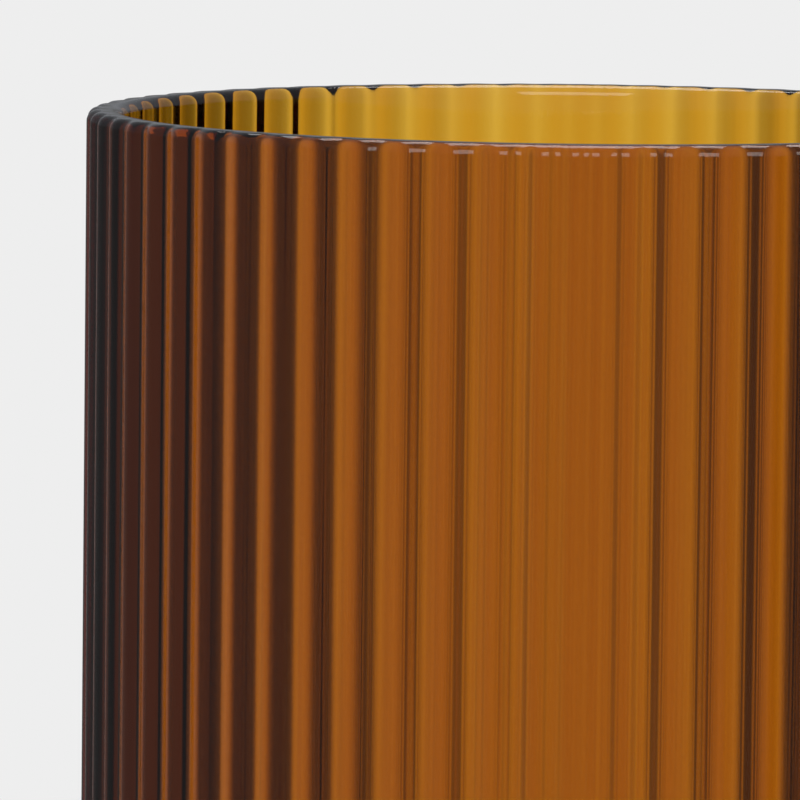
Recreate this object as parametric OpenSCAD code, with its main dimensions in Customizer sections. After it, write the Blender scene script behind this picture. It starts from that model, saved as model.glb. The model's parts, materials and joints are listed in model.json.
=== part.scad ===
// Straight-sided vase of amber glass with upright ribs, blown in two gathers and finished on a punty.
// The frame: +Z runs up the axis, and the origin is the centre of the standing ring, on the table.

/* [Body] */
// Outside diameter over the crowns of the ribs
body_d = 140; // [100:1:180]
// Height from the table to the top of the rim
body_h = 200; // [120:5:300]
// Thickness of the wall, from the bore to the crowns of the ribs
wall = 5; // [4:0.5:12]
// Thickness of the base, from the table to the bottom of the bore
base_t = 12; // [10:1:20]
// Radius that the flame gives each edge of the rim
rim_r = 1.6; // [1:0.1:1.9]
// Radius of the heel, between the wall and the standing ring
heel_r = 9; // [5:1:12]
// Radius of the corner at the bottom of the bore
corner_r = 8; // [4:1:12]

/* [Ribs] */
// Full ribs in each quarter of the two-part optic mould
quarter_ribs = 15; // [10:1:20]
// Radius across the crown of a rib
rib_r = 6; // [5:0.1:12]
// Slim ribs beside the front joint of the mould: like every pair below, the half towards -X and
// then the other one, as shares of a full rib of the front quarters
front_slim = [0.5, 0.4];
// Narrow ribs next to those
front_narrow = [0.8, 0.85];
// Full ribs of the back quarters
back_full = [1.06, 1];
// Narrow ribs near the back joint
back_narrow = [0.7, 0.85];
// Slim ribs beside the back joint, 0 for none
back_slim = [0, 0.5];

/* [Gathers] */
// Wall thickness of the first gather, the smooth bubble
bubble_wall = 2; // [1.75:0.25:2.5]
// Thickness of the bubble's bottom
bubble_base = 4; // [3:0.5:6]

/* [Foot] */
// Width of the flat ring that the vase stands on
ring_w = 11; // [6:1:16]
// Height of the hollow under the base, at its middle
kick_h = 3; // [2:0.5:4]
// Diameter of the glass that the punty leaves under the base
punty_d = 36; // [20:1:50]
// Thickness of that glass after grinding
punty_t = 2; // [1.5:0.25:2.5]
// Depth of the dimple polished into it
dimple_h = 0.6; // [0.3:0.1:0.8]

/* [Hidden] */
$fn = 96;
// Facets of the very shallow domes, whose radius is far larger than their width
dome_fn = 256;
amber = [0.72, 0.40, 0.05];
honey = [0.82, 0.56, 0.12];
brown = [0.50, 0.26, 0.05];
body_r = body_d / 2;
bore_r = body_r - wall;
bubble_r = bore_r + bubble_wall;
bubble_z = base_t - bubble_base;
bubble_corner_r = corner_r + bubble_wall;
// The turned envelope stands this far off the crowns, so that the two surfaces cross cleanly
crown_gap = 0.05;
envelope_r = body_r + crown_gap;
// A cutting shape runs past what it cuts by this much
over = 1;
crown_centre_r = body_r - rib_r;
// Solid disc behind the ribs, which reaches nearly to the valleys between them
core_r = body_r - 3;
kick_edge_r = envelope_r - heel_r - ring_w;
punty_r = punty_d / 2;
// The punty's glass is bedded this deep into the base
punty_bed = 0.2;
punty_top = kick_h + punty_bed;
punty_z = punty_top - punty_t;
// Ground flat left round the dimple
dimple_margin = 4;
dimple_edge_r = punty_r - dimple_margin;

// Widths of the ribs of a half of the mould, from its front joint round to its back one
function half_mould(side) = [
    front_slim[side],
    front_narrow[side],
    for (i = [1 : quarter_ribs]) 1,
    for (i = [1 : quarter_ribs]) back_full[side],
    back_narrow[side],
    if (back_slim[side] > 0) back_slim[side]
];

// Sum of the first n widths
function total(widths, n) = n == 0 ? 0 : widths[n - 1] + total(widths, n - 1);

// Angles of the crowns from the front joint, with the widths stretched to fill half a turn
function crown_angles(widths) = let (step = 180 / total(widths, len(widths))) [
    for (i = [0 : len(widths) - 1]) (total(widths, i) + widths[i] / 2) * step
];

// Radius of a dome from its height and the radius of its edge
function dome_r(edge_r, h) = (edge_r * edge_r + h * h) / (2 * h);

// What a radius takes off the corner at [x, y]: right and up, 1 or -1, say which way the corner points
module corner_cut(x, y, r, right, up) {
    side = r + over;
    centre = [x - right * r, y - up * r];
    difference() {
        translate(centre + [min(right, 0), min(up, 0)] * side) square(side);
        translate(centre) circle(r = r);
    }
}

// Plan of the ribbed outside: round crowns that meet in sharp valleys
module rib_outline() {
    circle(r = core_r);
    for (a = crown_angles(half_mould(0)))
        rotate(-90 - a) translate([crown_centre_r, 0]) circle(r = rib_r);
    for (a = crown_angles(half_mould(1)))
        rotate(-90 + a) translate([crown_centre_r, 0]) circle(r = rib_r);
}

// Half section that rounds the rim and the heel, hollows the underside and beds the punty's glass
module envelope_profile() {
    r = dome_r(kick_edge_r, kick_h);
    difference() {
        square([envelope_r, body_h]);
        corner_cut(envelope_r, body_h, rim_r, 1, 1);
        corner_cut(envelope_r, 0, heel_r, 1, -1);
        translate([0, kick_h - r]) circle(r = r, $fn = dome_fn);
        square([punty_r, punty_top]);
    }
}

// Half section of a round-bottomed space of radius r, from z up past the rim
module space_profile(r, z, bottom_r) {
    difference() {
        translate([0, z]) square([r, body_h]);
        corner_cut(r, z, bottom_r, 1, -1);
    }
}

// Second gather: the casing that the optic mould ribbed, with the heel and the standing ring
module outer_casing() {
    color(amber)
        difference() {
            intersection() {
                linear_extrude(height = body_h) rib_outline();
                rotate_extrude() envelope_profile();
            }
            rotate_extrude() space_profile(bubble_r, bubble_z, bubble_corner_r);
        }
}

// First gather: the smooth bubble that lines the casing and holds the water
module inner_casing() {
    color(honey)
        rotate_extrude()
            difference() {
                intersection() {
                    space_profile(bubble_r, bubble_z, bubble_corner_r);
                    square([bubble_r, body_h]);
                }
                space_profile(bore_r, base_t, corner_r);
                corner_cut(bore_r, body_h, rim_r, -1, 1);
            }
}

// Glass left by the punty: ground flat, with a dimple polished into the middle
module punty_disc() {
    r = dome_r(dimple_edge_r, dimple_h);
    color(brown)
        rotate_extrude()
            difference() {
                translate([0, punty_z]) square([punty_r, punty_t]);
                translate([0, punty_z + dimple_h - r]) circle(r = r, $fn = dome_fn);
            }
}

outer_casing();
inner_casing();
punty_disc();
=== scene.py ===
import json
import math

import bmesh
import bpy
from mathutils import Matrix, Vector


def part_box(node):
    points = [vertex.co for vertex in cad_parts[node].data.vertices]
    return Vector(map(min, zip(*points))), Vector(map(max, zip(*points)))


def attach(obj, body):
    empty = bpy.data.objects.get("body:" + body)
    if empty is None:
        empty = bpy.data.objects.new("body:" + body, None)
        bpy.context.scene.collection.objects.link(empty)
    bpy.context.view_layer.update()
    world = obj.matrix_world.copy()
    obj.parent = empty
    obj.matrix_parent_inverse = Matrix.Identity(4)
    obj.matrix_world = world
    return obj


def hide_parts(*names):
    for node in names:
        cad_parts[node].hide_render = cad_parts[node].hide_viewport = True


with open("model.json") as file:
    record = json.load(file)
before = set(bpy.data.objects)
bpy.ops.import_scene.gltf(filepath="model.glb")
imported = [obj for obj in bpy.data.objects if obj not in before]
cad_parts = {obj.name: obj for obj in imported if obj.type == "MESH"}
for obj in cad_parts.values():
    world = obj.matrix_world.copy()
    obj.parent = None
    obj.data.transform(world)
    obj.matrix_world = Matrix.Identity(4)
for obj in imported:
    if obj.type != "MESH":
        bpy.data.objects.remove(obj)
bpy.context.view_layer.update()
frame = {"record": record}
scene = bpy.context.scene
low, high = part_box("outer_casing")
rim_z = high.z
crown_r = (high.x - low.x) / 2
mouth = next(m for m in frame["record"]["mounts"] if m["name"] == "mouth")
bore_r = mouth["dims"]["r_mm"] / 1000


def fresh_tree(owner):
    """Empties the owner's node tree and gives it back."""
    owner.use_nodes = True
    owner.node_tree.nodes.clear()
    return owner.node_tree


def fill_ramp(ramp, stops):
    """Gives a colour ramp grey stops, each a place from 0 to 1 and a brightness."""
    ramp.color_ramp.interpolation = "EASE"
    while len(ramp.color_ramp.elements) < len(stops):
        ramp.color_ramp.elements.new(0.5)
    for stop, (place, light) in zip(ramp.color_ramp.elements, stops):
        stop.position = place
        stop.color = (light, light, light, 1)


def spin_section(bm, section, steps):
    """Turns a half section, given as radius and height, into a closed shell."""
    line = [bm.verts.new((r, 0, z)) for r, z in section]
    for a, b in zip(line, line[1:]):
        bm.edges.new((a, b))
    bmesh.ops.spin(
        bm, geom=bm.verts[:] + bm.edges[:], cent=(0, 0, 0), axis=(0, 0, 1), dvec=(0, 0, 0),
        angle=math.tau, steps=steps, use_merge=True, use_duplicate=False,
    )
    bmesh.ops.remove_doubles(bm, verts=bm.verts, dist=1e-7)


# The camera: a long lens a little above the rim, turned and tipped so that the vase is cut off
# below and at the right, and rolled very slightly, as a hand-held close view is.
camera_distance = 1.30
camera_rise = 3.61
camera_side = -1.0
camera_turn = 1.1
camera_tip = 5.42
camera_roll = 0.62
camera_lens = 412
side = math.radians(camera_side)
camera_data = bpy.data.cameras.new("camera")
camera_data.lens = camera_lens
camera_data.clip_end = 60
camera = bpy.data.objects.new("camera", camera_data)
scene.collection.objects.link(camera)
scene.camera = camera
stand = Vector((
    camera_distance * math.sin(side),
    -camera_distance * math.cos(side),
    rim_z + camera_distance * math.tan(math.radians(camera_rise)),
))
camera.matrix_world = (
    Matrix.Translation(stand)
    @ Matrix.Rotation(side + math.radians(camera_turn), 4, "Z")
    @ Matrix.Rotation(math.radians(90 - camera_tip), 4, "X")
    @ Matrix.Rotation(math.radians(camera_roll), 4, "Z")
)


# The studio: the eye sees a plain pale ground. The glass itself looks into a dim room and into a
# card lit in its middle, which stands close behind the vase and is no taller than it.
pale = 0.855
walls = [(-180, 0.20), (-120, 0.26), (-60, 0.20), (60, 0.08), (90, 0.06), (120, 0.22), (180, 0.20)]
dim_above = (0.28, 0.29, 0.31, 1)
card_y = 0.15
card_half = 0.30
card_power = 1.06
# how far the card's bright middle reaches to the left and right, and how dim it is beyond
card_reach = (0.072, 0.064)
card_edge = (0.16, 0.12)
card_fall = 2.6
# the brightness is worked out this far to both sides of the middle
card_lit = 0.15
scene.view_settings.view_transform = "Standard"
scene.cycles.max_bounces = 32
scene.cycles.transmission_bounces = 32
scene.cycles.glossy_bounces = 24
scene.cycles.use_denoising = True

world = bpy.data.worlds.new("studio")
scene.world = world
tree = fresh_tree(world)
out = tree.nodes.new("ShaderNodeOutputWorld")
path = tree.nodes.new("ShaderNodeLightPath")
ground = tree.nodes.new("ShaderNodeBackground")
ground.inputs["Color"].default_value = (pale, pale, pale, 1)
room = tree.nodes.new("ShaderNodeBackground")
toward = tree.nodes.new("ShaderNodeTexCoord")
parts = tree.nodes.new("ShaderNodeSeparateXYZ")
bearing = tree.nodes.new("ShaderNodeMath")
bearing.operation = "ARCTAN2"
share = tree.nodes.new("ShaderNodeMapRange")
share.inputs["From Min"].default_value = -math.pi
share.inputs["From Max"].default_value = math.pi
ramp = tree.nodes.new("ShaderNodeValToRGB")
fill_ramp(ramp, [((angle + 180) / 360, light) for angle, light in walls])
height = tree.nodes.new("ShaderNodeMapRange")
height.inputs["From Min"].default_value = 0.02
height.inputs["From Max"].default_value = 0.10
upper = tree.nodes.new("ShaderNodeMix")
upper.data_type = "RGBA"
upper.inputs["B"].default_value = dim_above
seen = tree.nodes.new("ShaderNodeMixShader")
tree.links.new(toward.outputs["Generated"], parts.inputs[0])
tree.links.new(parts.outputs["X"], bearing.inputs[0])
tree.links.new(parts.outputs["Y"], bearing.inputs[1])
tree.links.new(bearing.outputs[0], share.inputs["Value"])
tree.links.new(share.outputs[0], ramp.inputs["Fac"])
tree.links.new(parts.outputs["Z"], height.inputs["Value"])
tree.links.new(height.outputs[0], upper.inputs["Factor"])
tree.links.new(ramp.outputs["Color"], upper.inputs["A"])
tree.links.new(upper.outputs["Result"], room.inputs["Color"])
tree.links.new(path.outputs["Is Camera Ray"], seen.inputs[0])
tree.links.new(room.outputs[0], seen.inputs[1])
tree.links.new(ground.outputs[0], seen.inputs[2])
tree.links.new(seen.outputs[0], out.inputs["Surface"])

floor_mesh = bpy.data.meshes.new("floor")
bm = bmesh.new()
bmesh.ops.create_circle(bm, cap_ends=True, radius=0.6, segments=96)
bm.to_mesh(floor_mesh)
bm.free()
floor = bpy.data.objects.new("floor", floor_mesh)
scene.collection.objects.link(floor)
floor_paint = bpy.data.materials.new("floor_paint")
tree = fresh_tree(floor_paint)
out = tree.nodes.new("ShaderNodeOutputMaterial")
glow = tree.nodes.new("ShaderNodeEmission")
glow.inputs["Color"].default_value = (pale, pale, pale, 1)
tree.links.new(glow.outputs[0], out.inputs["Surface"])
floor_mesh.materials.append(floor_paint)

card_mesh = bpy.data.meshes.new("card")
bm = bmesh.new()
corners = [(-card_half, 0.0), (card_half, 0.0), (card_half, rim_z), (-card_half, rim_z)]
bm.faces.new([bm.verts.new((x, card_y, z)) for x, z in corners])
bm.to_mesh(card_mesh)
bm.free()
backdrop = bpy.data.objects.new("card", card_mesh)
scene.collection.objects.link(backdrop)
backdrop.visible_camera = False
card_paint = bpy.data.materials.new("card_paint")
tree = fresh_tree(card_paint)
out = tree.nodes.new("ShaderNodeOutputMaterial")
glow = tree.nodes.new("ShaderNodeEmission")
glow.inputs["Strength"].default_value = card_power
place = tree.nodes.new("ShaderNodeTexCoord")
parts = tree.nodes.new("ShaderNodeSeparateXYZ")
across = tree.nodes.new("ShaderNodeMapRange")
across.inputs["From Min"].default_value = -card_lit
across.inputs["From Max"].default_value = card_lit
ramp = tree.nodes.new("ShaderNodeValToRGB")
glow_stops = []
for i in range(25):
    x = card_lit * (i / 12 - 1)
    reach, edge = (card_reach[0], card_edge[0]) if x < 0 else (card_reach[1], card_edge[1])
    glow_stops.append((i / 24, edge + (1 - edge) * math.exp(-(abs(x) / reach) ** card_fall)))
fill_ramp(ramp, glow_stops)
tree.links.new(place.outputs["Object"], parts.inputs[0])
tree.links.new(parts.outputs["X"], across.inputs["Value"])
tree.links.new(across.outputs[0], ramp.inputs["Fac"])
tree.links.new(ramp.outputs["Color"], glow.inputs["Color"])
tree.links.new(glow.outputs[0], out.inputs["Surface"])
card_mesh.materials.append(card_paint)


def soft_box(name, azimuth, elevation, distance, width, height, power):
    """Hangs a soft light that faces the rim from the given bearing and height, in degrees."""
    turn = math.radians(azimuth)
    rise = math.radians(elevation)
    aim = Vector((math.sin(turn) * math.cos(rise), math.cos(turn) * math.cos(rise), math.sin(rise)))
    data = bpy.data.lights.new(name, "AREA")
    data.shape = "RECTANGLE"
    data.size = width
    data.size_y = height
    data.energy = power
    box = bpy.data.objects.new(name, data)
    scene.collection.objects.link(box)
    box.matrix_world = (
        Matrix.Translation(Vector((0, 0, rim_z)) + aim * distance)
        @ aim.to_track_quat("Z", "Y").to_matrix().to_4x4()
    )
    box.visible_camera = False


soft_box("top_box", 0, 70, 2.0, 1.2, 1.3, 15)
soft_box("front_box", 180, 24, 2.0, 1.0, 1.1, 9)


# The surface of hand-blown glass: upright draw lines from the optic mould, a slow swell left by
# the blowing and the tools, and fine cords of slightly deeper glass. Shared by both pieces.
skin = bpy.data.node_groups.new("blown_skin", "ShaderNodeTree")
for name, kind in (("Tint", "Color"), ("Roughness", "Float"), ("Normal", "Vector")):
    skin.interface.new_socket(name, in_out="OUTPUT", socket_type="NodeSocket" + kind)
to_out = skin.nodes.new("NodeGroupOutput")
place = skin.nodes.new("ShaderNodeTexCoord")
along = skin.nodes.new("ShaderNodeMapping")
along.inputs["Scale"].default_value = (1, 1, 0.06)
lines = skin.nodes.new("ShaderNodeTexNoise")
lines.inputs["Scale"].default_value = 260
lines.inputs["Detail"].default_value = 3
swell = skin.nodes.new("ShaderNodeTexNoise")
swell.inputs["Scale"].default_value = 38
swell.inputs["Detail"].default_value = 1
cords = skin.nodes.new("ShaderNodeTexNoise")
cords.inputs["Scale"].default_value = 120
cords.inputs["Detail"].default_value = 2
tint = skin.nodes.new("ShaderNodeValToRGB")
tint.color_ramp.elements[0].position = 0.32
tint.color_ramp.elements[0].color = (0.94, 0.90, 0.84, 1)
tint.color_ramp.elements[1].position = 0.60
tint.color_ramp.elements[1].color = (1, 1, 1, 1)
gloss = skin.nodes.new("ShaderNodeMapRange")
gloss.inputs["From Min"].default_value = 0.35
gloss.inputs["From Max"].default_value = 0.75
gloss.inputs["To Min"].default_value = 0.03
gloss.inputs["To Max"].default_value = 0.07
fine = skin.nodes.new("ShaderNodeBump")
fine.inputs["Strength"].default_value = 1
fine.inputs["Distance"].default_value = 0.000006
broad = skin.nodes.new("ShaderNodeBump")
broad.inputs["Strength"].default_value = 1
broad.inputs["Distance"].default_value = 0.00006
skin.links.new(place.outputs["Object"], along.inputs["Vector"])
skin.links.new(along.outputs["Vector"], lines.inputs["Vector"])
skin.links.new(along.outputs["Vector"], cords.inputs["Vector"])
skin.links.new(place.outputs["Object"], swell.inputs["Vector"])
skin.links.new(cords.outputs[0], tint.inputs["Fac"])
skin.links.new(cords.outputs[0], gloss.inputs["Value"])
skin.links.new(swell.outputs[0], broad.inputs["Height"])
skin.links.new(lines.outputs[0], fine.inputs["Height"])
skin.links.new(broad.outputs["Normal"], fine.inputs["Normal"])
skin.links.new(tint.outputs["Color"], to_out.inputs["Tint"])
skin.links.new(gloss.outputs[0], to_out.inputs["Roughness"])
skin.links.new(fine.outputs["Normal"], to_out.inputs["Normal"])


# The blown body: bubble and casing, fused hot into one wall of amber glass with no seam to see.
# The optic mould leaves upright ribs, slimmer beside its two joints; the flame softens the
# valleys and rounds the rim.
quarter_ribs = 15
front_slim = (0.5, 0.4)
front_narrow = (0.8, 0.85)
back_full = (1.06, 1)
back_narrow = (0.7, 0.85)
back_slim = (0, 0.5)
rib_depth = 0.000885
rib_crease = 0.28
facets = 12
rim_round = 0.0016
heel_round = 0.009
corner_round = 0.008
base_z = 0.012
ring_w = 0.011
kick_h = 0.003
glass_ior = 1.5
# what the glass lets through of each colour, and how strongly it soaks up the rest
glass_colour = (0.890, 0.749, 0.18, 1)
glass_density = 980
punty_r = 0.018
punty_top = 0.0032

crowns = []
full_reach = 1
for hand in (1, 0):
    widths = [front_slim[hand], front_narrow[hand]] + [1] * quarter_ribs
    widths += [back_full[hand]] * quarter_ribs + [back_narrow[hand]]
    if back_slim[hand]:
        widths.append(back_slim[hand])
    step = math.pi / sum(widths)
    full_reach = min(full_reach, step / 2)
    centres = [(sum(widths[:i]) + w / 2) * step for i, w in enumerate(widths)]
    if hand == 1:
        crowns += [c - math.pi / 2 for c in centres]
    else:
        crowns += [1.5 * math.pi - c for c in reversed(centres)]
ribs = len(crowns)

# one entry per facet edge: its angle round the vase, and how far the outside dips in there
edges_round = []
for i, crown in enumerate(crowns):
    before = (crown - crowns[i - 1]) % math.tau / 2
    after = (crowns[(i + 1) % ribs] - crown) % math.tau / 2
    for j in range(facets):
        share = 2 * j / facets - 1
        reach = after if share > 0 else before
        wave = math.sin(math.pi / 2 * share) ** 2
        dip = (1 - rib_crease) * wave + rib_crease * share * share
        edges_round.append((crown + share * reach, rib_depth * dip * (reach / full_reach) ** 2))
steps = len(edges_round)


def arc(centre_r, centre_z, radius, start, end, count):
    """Points of a rounded corner in the half section, angles in degrees from the outward way."""
    points = []
    for i in range(count + 1):
        a = math.radians(start + (end - start) * i / count)
        points.append((centre_r + radius * math.cos(a), centre_z + radius * math.sin(a)))
    return points


ring_out = crown_r - heel_round
ring_in = ring_out - ring_w
top_z = rim_z - rim_round
wall_rows = 6
section = [(punty_r * i / 3, punty_top) for i in range(4)]
for i in range(6):
    r = punty_r + (ring_in - punty_r) * i / 6
    section.append((r, kick_h * (1 - (r / ring_in) ** 2)))
section += [(ring_in - 0.0008, 0.00025), (ring_in, 0.00004), (ring_in + 0.0008, 0.0)]
section += arc(ring_out, heel_round, heel_round, -90, 0, 12)
section += [(crown_r, heel_round + (top_z - heel_round) * i / wall_rows) for i in range(1, wall_rows)]
section += arc(crown_r - rim_round, top_z, rim_round, 0, 90, 8)
section += arc(bore_r + rim_round, top_z, rim_round, 90, 180, 8)
floor_z = base_z + corner_round
section += [(bore_r, top_z + (floor_z - top_z) * i / wall_rows) for i in range(1, wall_rows)]
section += arc(bore_r - corner_round, floor_z, corner_round, 0, -90, 8)
section += [((bore_r - corner_round) * (1 - i / 4), base_z) for i in range(1, 5)]

body_mesh = bpy.data.meshes.new("blown_body")
bm = bmesh.new()
spin_section(bm, section, steps)
for v in bm.verts:
    r = math.hypot(v.co.x, v.co.y)
    if r < 1e-6:
        continue
    angle, dip = edges_round[round(math.atan2(v.co.y, v.co.x) / math.tau * steps) % steps]
    if v.co.z > heel_round:
        keep = 1 if r > bore_r + rim_round + 1e-5 else 0
        if v.co.z > top_z:
            keep = min(max((r - bore_r - rim_round) / (crown_r - bore_r - 2 * rim_round), 0), 1)
    else:
        rise = min(max((r - ring_out) / heel_round * 1.15, 0), 1)
        keep = rise * rise * (3 - 2 * rise)
    r -= dip * keep
    v.co.x = r * math.cos(angle)
    v.co.y = r * math.sin(angle)
bmesh.ops.recalc_face_normals(bm, faces=bm.faces)
for f in bm.faces:
    f.smooth = True
bm.to_mesh(body_mesh)
bm.free()
body = bpy.data.objects.new("blown_body", body_mesh)
scene.collection.objects.link(body)

amber = bpy.data.materials.new("amber_glass")
tree = fresh_tree(amber)
out = tree.nodes.new("ShaderNodeOutputMaterial")
glass = tree.nodes.new("ShaderNodeBsdfPrincipled")
glass.inputs["IOR"].default_value = glass_ior
glass.inputs["Transmission Weight"].default_value = 1
look = tree.nodes.new("ShaderNodeGroup")
look.node_tree = skin
soak = tree.nodes.new("ShaderNodeVolumeAbsorption")
soak.inputs["Color"].default_value = glass_colour
soak.inputs["Density"].default_value = glass_density
tree.links.new(look.outputs["Tint"], glass.inputs["Base Color"])
tree.links.new(look.outputs["Roughness"], glass.inputs["Roughness"])
tree.links.new(look.outputs["Normal"], glass.inputs["Normal"])
tree.links.new(glass.outputs[0], out.inputs["Surface"])
tree.links.new(soak.outputs[0], out.inputs["Volume"])
body_mesh.materials.append(amber)
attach(body, "root")
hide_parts("outer_casing", "inner_casing")


# The glass that the punty leaves under the base: a disc bedded into the hollow, ground frosty
# round its edge and polished to a shallow dimple in the middle.
punty_bed_z = punty_top + 0.00003
punty_low = punty_top - 0.002
dimple_r = punty_r - 0.004
dimple_h = 0.0006
edge_round = 0.0004
section = [(dimple_r * i / 8, punty_low + dimple_h * (1 - (i / 8) ** 2)) for i in range(9)]
section += [(punty_r - edge_round - 0.0015, punty_low)]
section += arc(punty_r - edge_round, punty_low + edge_round, edge_round, -90, 0, 4)
section += [(punty_r, punty_bed_z), (punty_r * 0.6, punty_bed_z), (0, punty_bed_z)]
punty_mesh = bpy.data.meshes.new("punty_glass")
bm = bmesh.new()
spin_section(bm, section, 120)
bmesh.ops.recalc_face_normals(bm, faces=bm.faces)
for f in bm.faces:
    f.smooth = abs(f.normal.z) < 0.999
bm.to_mesh(punty_mesh)
bm.free()
punty = bpy.data.objects.new("punty_glass", punty_mesh)
scene.collection.objects.link(punty)

ground_glass = bpy.data.materials.new("punty_glass")
tree = fresh_tree(ground_glass)
out = tree.nodes.new("ShaderNodeOutputMaterial")
glass = tree.nodes.new("ShaderNodeBsdfPrincipled")
glass.inputs["IOR"].default_value = glass_ior
glass.inputs["Transmission Weight"].default_value = 1
look = tree.nodes.new("ShaderNodeGroup")
look.node_tree = skin
place = tree.nodes.new("ShaderNodeTexCoord")
reach = tree.nodes.new("ShaderNodeVectorMath")
reach.operation = "MULTIPLY"
reach.inputs[1].default_value = (1, 1, 0)
radius = tree.nodes.new("ShaderNodeVectorMath")
radius.operation = "LENGTH"
frost = tree.nodes.new("ShaderNodeMapRange")
frost.inputs["From Min"].default_value = dimple_r - 0.0005
frost.inputs["From Max"].default_value = dimple_r + 0.0005
frost.inputs["To Min"].default_value = 0.02
frost.inputs["To Max"].default_value = 0.38
grain = tree.nodes.new("ShaderNodeTexNoise")
grain.inputs["Scale"].default_value = 2600
grain.inputs["Detail"].default_value = 3
rough = tree.nodes.new("ShaderNodeMath")
rough.operation = "MULTIPLY_ADD"
rough.inputs[1].default_value = 0.12
scratch = tree.nodes.new("ShaderNodeBump")
scratch.inputs["Distance"].default_value = 0.00001
soak = tree.nodes.new("ShaderNodeVolumeAbsorption")
soak.inputs["Color"].default_value = glass_colour
soak.inputs["Density"].default_value = glass_density
tree.links.new(place.outputs["Object"], reach.inputs[0])
tree.links.new(reach.outputs[0], radius.inputs[0])
tree.links.new(radius.outputs["Value"], frost.inputs["Value"])
tree.links.new(place.outputs["Object"], grain.inputs["Vector"])
tree.links.new(grain.outputs[0], rough.inputs[0])
tree.links.new(frost.outputs[0], rough.inputs[2])
tree.links.new(grain.outputs[0], scratch.inputs["Height"])
tree.links.new(frost.outputs[0], scratch.inputs["Strength"])
tree.links.new(look.outputs["Normal"], scratch.inputs["Normal"])
tree.links.new(look.outputs["Tint"], glass.inputs["Base Color"])
tree.links.new(rough.outputs[0], glass.inputs["Roughness"])
tree.links.new(scratch.outputs["Normal"], glass.inputs["Normal"])
tree.links.new(glass.outputs[0], out.inputs["Surface"])
tree.links.new(soak.outputs[0], out.inputs["Volume"])
punty_mesh.materials.append(ground_glass)
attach(punty, "root")
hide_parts("punty_disc")
